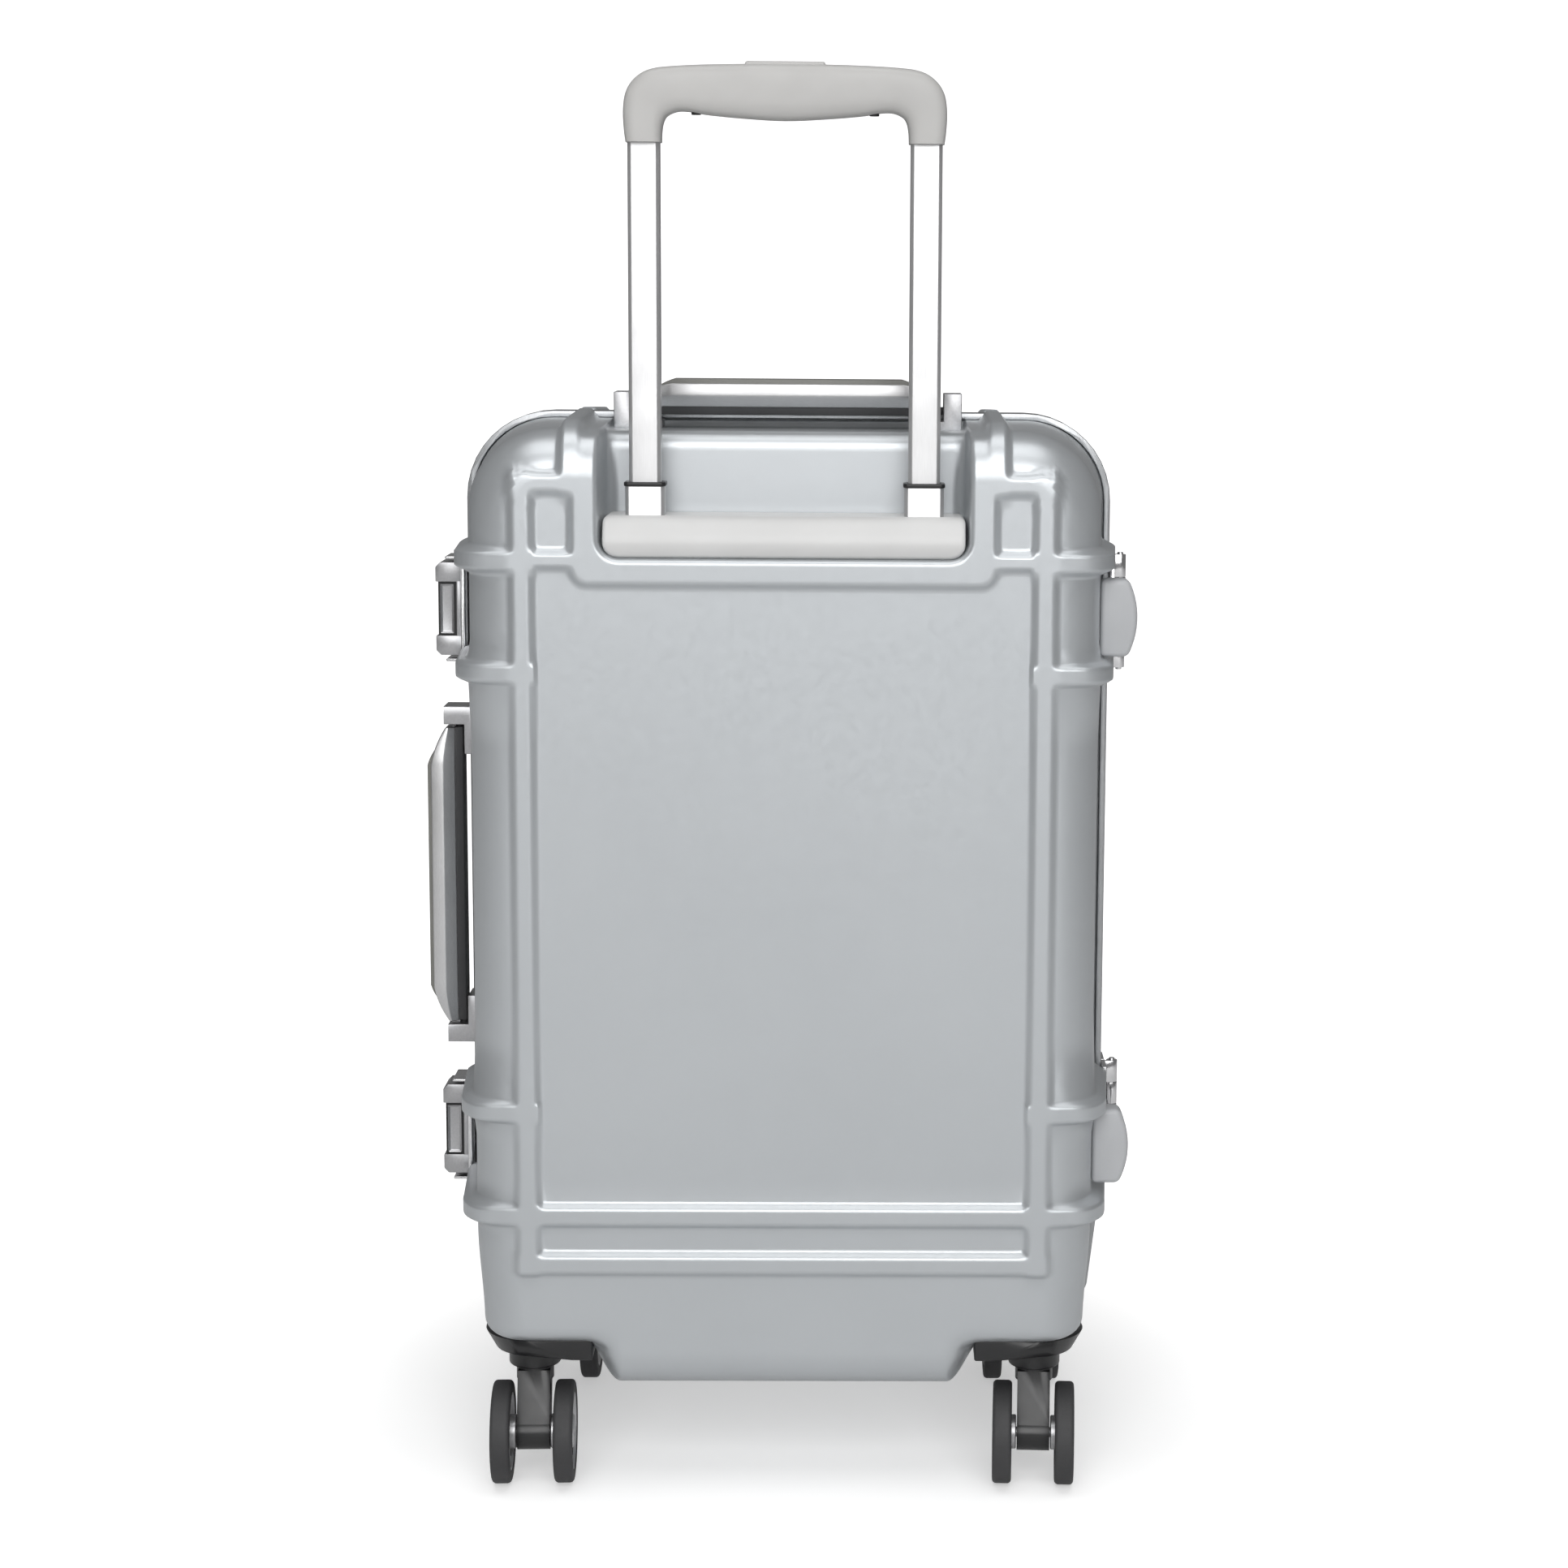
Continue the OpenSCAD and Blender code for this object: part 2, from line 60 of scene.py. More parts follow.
# --- Studio ----------------------------------------------------------------------
# White paper floor and backdrop, seen by the camera alone, in a dim room. The floor's glow is
# painted light: weaker near the case, a painted shadow round it, and full white further out. A grey
# floor underneath, glowing faintly, throws light back at the case; soft boxes stand in front and overhead.
studio = bpy.context.scene.world or bpy.data.worlds.new("studio")
bpy.context.scene.world = studio
bpy.context.scene.view_settings.view_transform = "Standard"
studio.use_nodes = True
room = studio.node_tree.nodes["Background"]
room.inputs["Color"].default_value = (1, 1, 1, 1)
room.inputs["Strength"].default_value = 0.18

def studio_sheet(name, size, where, turn, colour, glow_near, glow_far, backdrop=True):
    """Matt paper whose own glow grows from the case outwards; a weaker glow near the case is painted shade round it.
    """
    sheet = bmesh.new()
    bmesh.ops.create_grid(sheet, x_segments=1, y_segments=1, size=size)
    stand = Matrix.Translation(where) @ Matrix.Rotation(math.radians(turn), 4, "X")
    bmesh.ops.transform(sheet, matrix=stand, verts=sheet.verts)
    mesh = bpy.data.meshes.new(name)
    sheet.to_mesh(mesh)
    sheet.free()
    paper = bpy.data.materials.new(name + "_paper")
    paper.use_nodes = True
    nodes, links = paper.node_tree.nodes, paper.node_tree.links
    shader = nodes["Principled BSDF"]
    shader.inputs["Base Color"].default_value = (colour, colour, colour, 1)
    shader.inputs["Roughness"].default_value = 0.9
    shader.inputs["Emission Strength"].default_value = 1.0
    place = nodes.new("ShaderNodeTexCoord")
    away = nodes.new("ShaderNodeVectorMath")
    away.operation = "LENGTH"
    # painted light: this glow ramp, weaker near the case, paints the shade around it
    glow = nodes.new("ShaderNodeValToRGB")
    glow.color_ramp.interpolation = "EASE"
    glow.color_ramp.elements[0].position = 0.12
    glow.color_ramp.elements[0].color = (glow_near, glow_near, glow_near, 1)
    glow.color_ramp.elements[1].position = 0.52
    glow.color_ramp.elements[1].color = (glow_far, glow_far, glow_far, 1)
    links.new(place.outputs["Object"], away.inputs[0])
    links.new(away.outputs["Value"], glow.inputs["Fac"])
    links.new(glow.outputs["Color"], shader.inputs["Emission Color"])
    mesh.materials.append(paper)
    piece = bpy.data.objects.new(name, mesh)
    bpy.context.scene.collection.objects.link(piece)
    piece.visible_shadow = False
    if backdrop:
        piece.visible_glossy = False
        piece.visible_diffuse = False
    else:
        piece.visible_camera = False

studio_sheet("studio_floor", 5, (0, 0, 0), 0, 0.9, 0.42, 1.0)
studio_sheet("studio_wall", 5, (0, 4.5, 0), 90, 0.8, 1.0, 1.0)
studio_sheet("studio_bounce", 3, (0, 0, -0.002), 0, 0.65, 0.14, 0.14, backdrop=False)

def soft_box(name, where, aim, width, height, watts):
    lamp = bpy.data.objects.new(name, bpy.data.lights.new(name, "AREA"))
    lamp.data.shape = "RECTANGLE"
    lamp.data.size = width
    lamp.data.size_y = height
    lamp.data.energy = watts
    lamp.location = where
    lamp.rotation_euler = (Vector(aim) - Vector(where)).to_track_quat("-Z", "Y").to_euler()
    bpy.context.scene.collection.objects.link(lamp)

soft_box("box_front", (0.1, -2.7, 1.5), (0, 0, 0.35), 2.4, 1.9, 52)
soft_box("box_overhead", (0, -0.6, 2.3), (0, 0, 0.3), 2.0, 1.4, 17)

# --- Case shells -----------------------------------------------------------------
# Two drafted half shells, pressed from polycarbonate sheet with ribs moulded in. Each
# is modelled as an open box, cut along every rib's edges and then shaped.
MM = 0.001
FLAT_X = 112.6          # from the middle to where the rounded corners' centres lie
FLAT_TOP = 489.0
RING = 17.0             # radius of the flat panel's corners
BULGE = 23.0            # radius of the bulging edge
CREASE = 74.0           # depth of the bulge's start behind the closure plane
PANEL = CREASE + BULGE
QUARTER = BULGE * math.pi / 2
REACH = RING + QUARTER  # length of surface from a corner centre to the crease
BELLY_R = 20.0
BELLY_Z = 54.0
SILL_Z = 78.0
SILL_R = 9.0
KNEE = SILL_Z + SILL_R
UNDER = KNEE - BELLY_Z - BELLY_R + BELLY_R * math.pi / 2   # surface from the knee to the flat belly
SHELL_EDGE = 6.0
RIB_HEIGHTS = (466.5, 412.5, 196.5, 144.5)

def step(a, b, x):
    t = min(1.0, max(0.0, (x - a) / (b - a)))
    return t * t * (3 - 2 * t)

def waist(z):
    """How much the sides draw in towards the foot."""
    return 3.0 * step(134, 84, z)

def box_distance(x, z, x0, x1, z0, z1, r):
    """Distance from the edge of a rounded rectangle, negative inside it."""
    dx = abs(x - (x0 + x1) / 2) - (x1 - x0) / 2 + r
    dz = abs(z - (z0 + z1) / 2) - (z1 - z0) / 2 + r
    return math.hypot(max(dx, 0), max(dz, 0)) + min(max(dx, dz), 0) - r

def rib_height(x, z, depth, around, back):
    """Height of the ribs above the plain form: around is 0 on the panel, 1 on the sides."""
    ax = abs(x)
    flat = [box_distance(ax, z, 121, 129, 116, 507, 1),
            box_distance(ax, z, -129, 129, 116, 124, 1),
            box_distance(ax, z, -125, 125, 140.5, 148.5, 1),
            box_distance(ax, z, 98.5, 129, 500, 507, 1)]
    over = box_distance(ax, z, 98.5, 105.5, 500, 640, 1)
    beside = min(abs(z - level) - 4.0 for level in RIB_HEIGHTS) if ax > 118 else 99
    if back:
        flat.append(box_distance(ax, z, -100.5, 100.5, 456, 640, 7))
        flat.append(box_distance(ax, z, 95, 125, 464.2, 469.8, 1))
    def blended(distances):
        near = min(distances)
        return near - 1.2 * math.log(sum(math.exp(-(d - near) / 1.2) for d in distances))
    raised = 1 - step(-0.9, 3.1, blended(flat + [over, beside]))
    low_rise, rise = 3.0 * step(0.5, 0.9, around), step(0.0, 0.55, around)
    top = (1 - step(-0.9, 3.6, over)) * (low_rise + 1.7 * rise) * step(6, 9, depth)
    side = (1 - step(-0.9, 3.6, beside)) * (low_rise + 4.2 * rise) * step(12, 26, depth)
    return 3.0 * raised * (1 - step(0.5, 0.9, around)) + max(top, side)

RECESS_FOOT = 468.0
RECESS_DEPTH = 35.0
RECESS_WALL = -62.0     # where the recess's rear wall stands
WALL_TOP = 519.0

def recess_depth(x, z):
    """How far the trolley's recess goes in: a rounded rim, a drafted side and a fillet at its wall."""
    rim, draft, fillet = 3.0, 1.2, 7.0
    far = box_distance(x, z, -88.4, 88.4, RECESS_FOOT, 900, 10)
    if far >= rim:
        return 0.0
    if far >= 0:
        return rim - math.sqrt(max(0, rim ** 2 - (rim - far) ** 2))
    if far >= -draft:
        return rim + (RECESS_DEPTH - fillet - rim) * (-far / draft)
    if far >= -draft - fillet:
        return RECESS_DEPTH - fillet + fillet * math.sqrt(1 - (1 - (-draft - far) / fillet) ** 2)
    return RECESS_DEPTH

def on_shell(p, q, k, back):
    """Place of a point of the flattened box: p across, q up, k back from the crease."""
    ap, sign = abs(p), (1 if p >= 0 else -1)
    dx, dz = max(ap - FLAT_X, 0), max(q - FLAT_TOP, 0)
    far = max(dx, dz)
    length = math.hypot(dx, dz) or 1.0
    ux, uz = dx / length, dz / length
    turn = min(max((far - RING) / BULGE, 0), math.pi / 2)
    reach = min(far, RING) + BULGE * math.sin(turn)
    depth = CREASE + BULGE * math.cos(turn)
    nx, ny = math.sin(turn), math.cos(turn)
    if far > REACH - 0.01:
        depth = CREASE - k
    slack = (CREASE - depth) / CREASE if depth < CREASE else 0.0
    x = min(ap, FLAT_X) + ux * reach + 5.9 * slack * step(106.5, FLAT_X, ap)
    z = min(q, FLAT_TOP) + uz * reach + 2.5 * slack * step(474, FLAT_TOP, q)
    x -= waist(z) * (1 if ap > 60 else ap / 60)
    around = step(0, math.pi / 2, turn)
    if q >= KNEE:
        high = rib_height(x * sign, z, depth, around, back)
        y = -(depth + high * ny)
        x += ux * nx * high
        z += uz * nx * high
        if back and ap < 92:
            cut = recess_depth(p, q) / RECESS_DEPTH
            if cut > 0:
                brow, brow_k = 8.0, 12.0        # radius over the wall, and its share of the depth
                brow_y = RECESS_WALL + brow
                rise = (q - RECESS_FOOT) / (FLAT_TOP + REACH - RECESS_FOOT)
                wall_y = RECESS_WALL
                wall_z = RECESS_FOOT + rise * (WALL_TOP - RECESS_FOOT) if rise > 0 else q
                if k > brow_k:
                    wall_y = brow_y + (k - brow_k) / (CREASE - SHELL_EDGE - brow_k) * (-SHELL_EDGE - brow_y)
                    wall_z = WALL_TOP + brow + 3.6 * step(-14, -8, wall_y)
                elif k > 0:
                    bend = k / brow_k * math.pi / 2
                    wall_y = RECESS_WALL + brow * (1 - math.cos(bend))
                    wall_z = WALL_TOP + brow * math.sin(bend)
                y += (wall_y - y) * cut
                z += (wall_z - z) * cut
        return Vector((x * sign, y, z)) * MM
    down = KNEE - q
    straight = KNEE - BELLY_Z - BELLY_R
    bend = min(max((down - straight) / BELLY_R, 0), math.pi / 2)
    draw_in = k * (PANEL - BELLY_R - SHELL_EDGE) / (CREASE - SHELL_EDGE)
    belly_y = -(PANEL - BELLY_R + BELLY_R * math.cos(bend)) + draw_in
    belly_z = KNEE - min(down, straight) - BELLY_R * math.sin(bend)
    curl = min(down / (SILL_R * math.pi / 2), 1) * math.pi / 2
    rest = max(0.0, (down - SILL_R * math.pi / 2) / (UNDER - SILL_R * math.pi / 2))
    start_y = depth - SILL_R * (1 - math.cos(curl)) * ny
    goal_y = PANEL - BELLY_R - draw_in
    sill_y = -(start_y + (goal_y - start_y) * rest)
    sill_z = KNEE - SILL_R * math.sin(curl)
    x -= SILL_R * (1 - math.cos(curl)) * nx
    x += (min(ap, FLAT_X) + max(ap - FLAT_X, 0) / REACH * 17 - x) * rest
    belly = 1 - step(82, 102, ap)
    y = sill_y + (belly_y - sill_y) * belly
    z = sill_z + (belly_z - sill_z) * belly
    return Vector((x * sign, y, z)) * MM

def spread(*stretches):
    """Cutting heights: each stretch is its start, end and the pitch between cuts."""
    cuts = []
    for start, end, pitch in stretches:
        n = max(1, round((end - start) / pitch))
        cuts += [start + (end - start) * i / n for i in range(n)]
    return sorted(set(round(c, 3) for c in cuts))

def half_shell(name, back):
    """One half: the back one holds the trolley's recess, the front one is its plain mirror image."""
    across = spread((0, 78, 26), (78, 86.4, 1.2), (86.4, 91.6, 0.4), (91.6, 97, 1.8), (97, 133, 1.0),
                    (133, FLAT_X + REACH, 2.3))
    up = spread((KNEE - UNDER + 2, KNEE - 14, 3), (KNEE - 14, KNEE, 2), (KNEE, 112, 7), (112, 128, 1.0),
                (128, 137, 3), (137, 152, 1.0), (152, 190, 9), (190, 203, 1.0), (203, 406, 29),
                (406, 419, 1.0), (419, 450, 8), (450, 463, 0.9), (463, 472, 0.5), (472, 476, 1.0), (476, 496, 4),
                (496, 511, 0.9), (511, FLAT_TOP + REACH, 2.2))
    deep = spread((2, 14, 2.4), (14, 50, 6), (50, CREASE - SHELL_EDGE, 1.5))
    low, high = KNEE - UNDER, FLAT_TOP + REACH
    bm = bmesh.new()
    bmesh.ops.create_cube(bm, size=1)
    for v in bm.verts:
        v.co = Vector((v.co.x * 2 * (FLAT_X + REACH), (v.co.y + 0.5) * (CREASE - SHELL_EDGE),
                       low + (v.co.z + 0.5) * (high - low)))
    mouth = [f for f in bm.faces if f.normal.y > 0.9]
    bmesh.ops.delete(bm, geom=mouth, context="FACES_ONLY")
    def cut(place, axis):
        bmesh.ops.bisect_plane(bm, geom=bm.verts[:] + bm.edges[:] + bm.faces[:], dist=1e-5,
                               plane_co=place, plane_no=axis)
    for c in across[1:]:
        cut((c, 0, 0), (1, 0, 0))
        cut((-c, 0, 0), (1, 0, 0))
    cut((0, 0, 0), (1, 0, 0))
    for c in deep:
        cut((0, c, 0), (0, 1, 0))
    for c in up:
        cut((0, 0, c), (0, 0, 1))
    for v in bm.verts:
        v.co = on_shell(v.co.x, v.co.z, v.co.y, back)
    bmesh.ops.recalc_face_normals(bm, faces=bm.faces)
    if not back:
        bmesh.ops.scale(bm, vec=(1, -1, 1), verts=bm.verts)
        bmesh.ops.reverse_faces(bm, faces=bm.faces)
    outer = min(bm.faces, key=lambda f: f.calc_center_median().y * (1 if back else -1))
    if outer.normal.y * (1 if back else -1) > 0:
        bmesh.ops.reverse_faces(bm, faces=bm.faces)
    for f in bm.faces:
        f.smooth = True
    mesh = bpy.data.meshes.new(name)
    bm.to_mesh(mesh)
    bm.free()
    piece = bpy.data.objects.new(name, mesh)
    bpy.context.scene.collection.objects.link(piece)
    sheet = piece.modifiers.new("sheet", "SOLIDIFY")
    sheet.thickness = 0.0025
    sheet.offset = -1
    return piece

def node_material(name, color, metallic, roughness):
    material = bpy.data.materials.new(name)
    material.use_nodes = True
    shader = material.node_tree.nodes["Principled BSDF"]
    shader.inputs["Base Color"].default_value = (*color, 1)
    shader.inputs["Metallic"].default_value = metallic
    shader.inputs["Roughness"].default_value = roughness
    return material, material.node_tree, shader

def grain(tree, scale, detail=2.0, stretch=(1, 1, 1)):
    place = tree.nodes.new("ShaderNodeTexCoord")
    shape = tree.nodes.new("ShaderNodeMapping")
    shape.inputs["Scale"].default_value = stretch
    noise = tree.nodes.new("ShaderNodeTexNoise")
    noise.inputs["Scale"].default_value = scale
    noise.inputs["Detail"].default_value = detail
    tree.links.new(place.outputs["Object"], shape.inputs["Vector"])
    tree.links.new(shape.outputs["Vector"], noise.inputs["Vector"])
    return noise

def bumped(tree, shader, source, strength, distance):
    bump = tree.nodes.new("ShaderNodeBump")
    bump.inputs["Strength"].default_value = strength
    bump.inputs["Distance"].default_value = distance
    tree.links.new(source.outputs["Fac"], bump.inputs["Height"])
    tree.links.new(bump.outputs["Normal"], shader.inputs["Normal"])

def toned(tree, source, socket, dark, light, low=0.35, high=0.65):
    ramp = tree.nodes.new("ShaderNodeValToRGB")
    ramp.color_ramp.elements[0].position = low
    ramp.color_ramp.elements[1].position = high
    ramp.color_ramp.elements[0].color = (*dark, 1) if isinstance(dark, tuple) else (dark, dark, dark, 1)
    ramp.color_ramp.elements[1].color = (*light, 1) if isinstance(light, tuple) else (light, light, light, 1)
    tree.links.new(source.outputs["Fac"], ramp.inputs["Fac"])
    tree.links.new(ramp.outputs["Color"], socket)

def silver_polycarbonate():
    material, tree, shader = node_material("silver_polycarbonate", (0.535, 0.56, 0.58), 0.6, 0.36)
    shader.inputs["Coat Weight"].default_value = 0.25
    shader.inputs["Coat Roughness"].default_value = 0.3
    cloud = grain(tree, 9, 3)
    toned(tree, cloud, shader.inputs["Base Color"], (0.527, 0.552, 0.572), (0.543, 0.568, 0.588))
    scuff = grain(tree, 260, 4)
    toned(tree, scuff, shader.inputs["Roughness"], 0.33, 0.39)
    fine = grain(tree, 2600, 1)
    bumped(tree, shader, fine, 0.08, 0.0002)
    return material

shell_finish = silver_polycarbonate()
for name, node, body, back in (("shell_back", "back_shell", "back_half", True),
                               ("shell_front", "front_shell", "front_half", False)):
    shell = half_shell(name, back)
    shell.data.materials.append(shell_finish)
    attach(shell, body)
    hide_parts(node)

# --- Closure frame and its seal --------------------------------------------------
# Two extruded aluminium rings riveted to the shells' edges, with a black rubber seal
# in the back ring's groove. Drawn faces, lightly broken edges.
body_of = {node: body for body, nodes in frame["record"]["behaviour"]["bodies"].items() for node in nodes}

def settle(name, bm, finish, body, nodes=(), crease=35):
    """Makes a piece of a mesh and puts it on its body."""
    for f in bm.faces:
        f.smooth = True
    mesh = bpy.data.meshes.new(name)
    bm.to_mesh(mesh)
    bm.free()
    mesh.set_sharp_from_angle(angle=math.radians(crease))
    mesh.materials.append(finish)
    piece = bpy.data.objects.new(name, mesh)
    bpy.context.scene.collection.objects.link(piece)
    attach(piece, body)
    if nodes:
        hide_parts(*nodes)
    return piece

def from_cad(node):
    bm = bmesh.new()
    bm.from_mesh(frame["nodes"][node].data)
    bmesh.ops.remove_doubles(bm, verts=bm.verts, dist=2e-6)
    bmesh.ops.dissolve_limit(bm, angle_limit=math.radians(0.5), verts=bm.verts, edges=bm.edges)
    bmesh.ops.recalc_face_normals(bm, faces=bm.faces)
    return bm

def broken_edges(bm, width, rounds=2, sharper=28):
    edges = [e for e in bm.edges if len(e.link_faces) == 2 and e.calc_face_angle() > math.radians(sharper)]
    bmesh.ops.bevel(bm, geom=edges, offset=width * MM, offset_type="OFFSET", segments=rounds, profile=0.5,
                    affect="EDGES", clamp_overlap=True, material=-1)
    return bm

def refined(node, name, finish, width=0.3, rounds=2, sharper=28):
    return settle(name, broken_edges(from_cad(node), width, rounds, sharper), finish, body_of[node], (node,))

def metal(name, color, rough, along=(1, 1, 1), lines=180, scratch=0.05, metallic=1.0, wear=0.06):
    """Metal with drawing or brushing lines along one axis, cloudy tone and fine scratches."""
    material, tree, shader = node_material(name, color, metallic, rough)
    brushed = grain(tree, lines, 6, along)
    light = tuple(min(1, c * (1 + wear)) for c in color)
    dark = tuple(c * (1 - wear) for c in color)
    toned(tree, brushed, shader.inputs["Base Color"], dark, light, 0.3, 0.7)
    cloud = grain(tree, 35, 4)
    toned(tree, cloud, shader.inputs["Roughness"], rough - 0.05, rough + 0.06)
    bumped(tree, shader, brushed, scratch, 0.0001)
    return material

def moulded(name, color, rough, grit=1600, bump=0.12, tone=0.05, coat=0.0, metallic=0.0):
    """Moulded plastic or rubber: fine spark-eroded grain, cloudy tone, polish that varies."""
    material, tree, shader = node_material(name, color, metallic, rough)
    shader.inputs["Coat Weight"].default_value = coat
    shader.inputs["Coat Roughness"].default_value = 0.25
    cloud = grain(tree, 28, 4)
    toned(tree, cloud, shader.inputs["Base Color"], tuple(c * (1 - tone) for c in color),
          tuple(min(1, c * (1 + tone)) for c in color))
    polish = grain(tree, 90, 5)
    toned(tree, polish, shader.inputs["Roughness"], rough - 0.04, rough + 0.05)
    pits = grain(tree, grit, 2)
    bumped(tree, shader, pits, bump, 0.00015)
    return material

drawn_aluminium = metal("drawn_aluminium", (0.42, 0.43, 0.44), 0.36, (6, 6, 1))
seal_rubber = moulded("seal_rubber", (0.02, 0.02, 0.02), 0.6)
refined("back_frame", "frame_back", drawn_aluminium, 0.35)
refined("front_frame", "frame_front", drawn_aluminium, 0.35)
refined("frame_gasket", "seal", seal_rubber, 0.3)

# --- Trolley housing -------------------------------------------------------------
# A convex bar moulded in light grey plastic, screwed into the foot of the recess; the
# fixed tubes pass through it. Its lower corners follow the recess.
light_plastic = moulded("light_plastic", (0.66, 0.66, 0.655), 0.42, 1900, 0.06, 0.02)
low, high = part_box("trolley_housing")
bar = bmesh.new()
bmesh.ops.create_cube(bar, size=1)
middle, size = (low + high) / 2, high - low
bmesh.ops.scale(bar, vec=size, verts=bar.verts)
bmesh.ops.translate(bar, vec=middle, verts=bar.verts)

def end_corners(bm, z_side):
    """The edges that run from the bar's front to its back, at its foot (-1) or its top (1)."""
    return [e for e in bm.edges
            if max(abs(a - b) for a, b in zip(e.verts[0].co.xz, e.verts[1].co.xz)) < 1e-6
            and (e.verts[0].co.z - middle.z) * z_side > 0]

bmesh.ops.bevel(bar, geom=end_corners(bar, -1), offset=7.5 * MM, segments=8, profile=0.5, affect="EDGES", material=-1)
bmesh.ops.bevel(bar, geom=end_corners(bar, 1), offset=3 * MM, segments=5, profile=0.5, affect="EDGES", material=-1)
front_rim = [e for e in bar.edges if all(v.co.y < low.y + 1e-5 for v in e.verts)]
bmesh.ops.bevel(bar, geom=front_rim, offset=2.2 * MM, segments=4, profile=0.5, affect="EDGES", material=-1)
for i in range(1, 14):
    bmesh.ops.bisect_plane(bar, geom=bar.verts[:] + bar.edges[:] + bar.faces[:], dist=1e-6,
                           plane_co=(0, 0, low.z + size.z * i / 14), plane_no=(0, 0, 1))
for v in bar.verts:
    if v.co.y < low.y + 12 * MM:
        rise = (v.co.z - low.z) / size.z
        v.co.y += (7.5 * max(0, rise - 0.35) ** 2 / 0.42 + 2.5 * max(0, 0.4 - rise) ** 2 / 0.16) * MM
settle("housing_bar", bar, light_plastic, body_of["trolley_housing"], ("trolley_housing",), 50)

# --- Trolley ---------------------------------------------------------------------
# Two telescoping pairs of satin anodised aluminium tubes with chamfered corners, with
# black guide collars; plugs, sprung pins and pull rods are inside them.
anodised = metal("anodised", (0.60, 0.60, 0.605), 0.38, (8, 8, 0.6), 220, 0.06, 0.75, 0.03)
black_plastic = moulded("black_plastic", (0.012, 0.012, 0.013), 0.38)
ground_steel = metal("ground_steel", (0.62, 0.62, 0.64), 0.3)
refined("outer_tubes", "tubes_fixed", anodised, 0.5, 3)
refined("inner_tubes", "tubes_sliding", anodised, 0.4, 3)
refined("tube_fittings", "tube_collars_and_sockets", black_plastic, 0.4)
refined("tube_plugs", "tube_foot_plugs", black_plastic, 0.3)
refined("lock_pin_left", "pin_left", ground_steel, 0.25)
refined("lock_pin_right", "pin_right", ground_steel, 0.25)
refined("release_rods", "pull_rods", ground_steel, 0.2)

# The grip is moulded in warm grey plastic. It is an arch with a full belly: each station
# below is its outer and inner edge, from the foot of a leg to the middle.
grip_plastic = moulded("grip_plastic", (0.475, 0.47, 0.46), 0.40, 1500, 0.10, 0.03)
STATIONS = [((75.2, 663.4), (58.2, 663.4)), ((76.0, 670.0), (58.0, 668.5)), ((76.3, 678.0), (57.3, 672.5)),
            ((75.3, 685.6), (55.9, 675.2)), ((72.4, 691.2), (53.4, 676.8)), ((67.6, 695.4), (50.4, 677.7)),
            ((61.9, 697.6), (47.3, 677.8)), ((54.0, 698.6), (43.4, 677.4)), ((40.0, 699.4), (36.0, 676.2)),
            ((20.0, 699.9), (19.0, 674.7)), ((0.0, 700.0), (0.0, 673.8))]

def along_stations(t):
    """Outer and inner edge at t, 0 at the foot of the leg and 1 in the middle, on a smooth curve."""
    path = STATIONS + [((-x0, z0), (-x1, z1)) for (x0, z0), (x1, z1) in STATIONS[-2::-1]]
    at = t * (len(STATIONS) - 1)
    i = min(int(at), len(STATIONS) - 2)
    f = at - i
    rows = [path[max(i - 1, 0)], path[i], path[i + 1], path[i + 2]]
    def curve(p):
        return 0.5 * (2 * p[1] + (p[2] - p[0]) * f + (2 * p[0] - 5 * p[1] + 4 * p[2] - p[3]) * f * f
                      + (3 * p[1] - p[0] - 3 * p[2] + p[3]) * f ** 3)
    return [[curve([row[edge][axis] for row in rows]) for axis in (0, 1)] for edge in (0, 1)]

low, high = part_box("trolley_grip")
grip = bmesh.new()
bmesh.ops.create_cone(grip, cap_ends=True, segments=44, radius1=1, radius2=1, depth=2)
for i in range(1, 84):
    bmesh.ops.bisect_plane(grip, geom=grip.verts[:] + grip.edges[:] + grip.faces[:], dist=1e-6,
                           plane_co=(0, 0, -1 + i / 42), plane_no=(0, 0, 1))
for v in grip.verts:
    outer, inner = along_stations(1 - abs(v.co.z))
    side = 1 if v.co.z >= 0 else -1
    c, s = v.co.x, v.co.y
    c = math.copysign(abs(c) ** 0.5, c)
    s = math.copysign(abs(s) ** 0.5, s)
    x = (outer[0] + inner[0]) / 2 + c * (outer[0] - inner[0]) / 2
    z = (outer[1] + inner[1]) / 2 + c * (outer[1] - inner[1]) / 2
    v.co = Vector((x * side * MM, (low.y + high.y) / 2 + s * (high.y - low.y) / 2, z * MM))
bmesh.ops.recalc_face_normals(grip, faces=grip.faces)
settle("grip", grip, grip_plastic, body_of["trolley_grip"], ("trolley_grip",), 60)
refined("release_button", "button", grip_plastic, 1.4, 4)
screws = bmesh.new()
for s in (-1, 1):
    bmesh.ops.create_cone(screws, cap_ends=True, segments=24, radius1=2.3 * MM, radius2=2.3 * MM, depth=4 * MM,
                          matrix=Matrix.Translation((s * 42 * MM, (low.y + high.y) / 2, 678.3 * MM)))
settle("grip_screw_wells", broken_edges(screws, 0.2), black_plastic, body_of["grip_screws"],
       ("grip_screws",))

# --- Carry handles ---------------------------------------------------------------
# Brushed silver band, tapered at both ends, on a charcoal core, with a soft strip outside.
# Each hangs on a rod between two cast end brackets and slides out a few millimetres.
cast_silver = metal("cast_silver", (0.47, 0.47, 0.48), 0.36, (1, 1, 1), 900, 0.03)
# One brushed silver in two copies: painted shade darkens the top handle's band, painted light brightens the side
# handle's band.
brushed_band_x_painted_dark = metal("brushed_band_x_painted_dark", (0.52, 0.52, 0.525), 0.34, (0.7, 9, 9), 500, 0.03)
brushed_band_z_painted_light = metal("brushed_band_z_painted_light", (0.66, 0.66, 0.665), 0.36, (9, 9, 0.7), 500, 0.03)
charcoal = moulded("charcoal", (0.055, 0.055, 0.057), 0.5, 1300, 0.2)
soft_strip = moulded("soft_strip", (0.21, 0.21, 0.195), 0.6, 1100, 0.25)

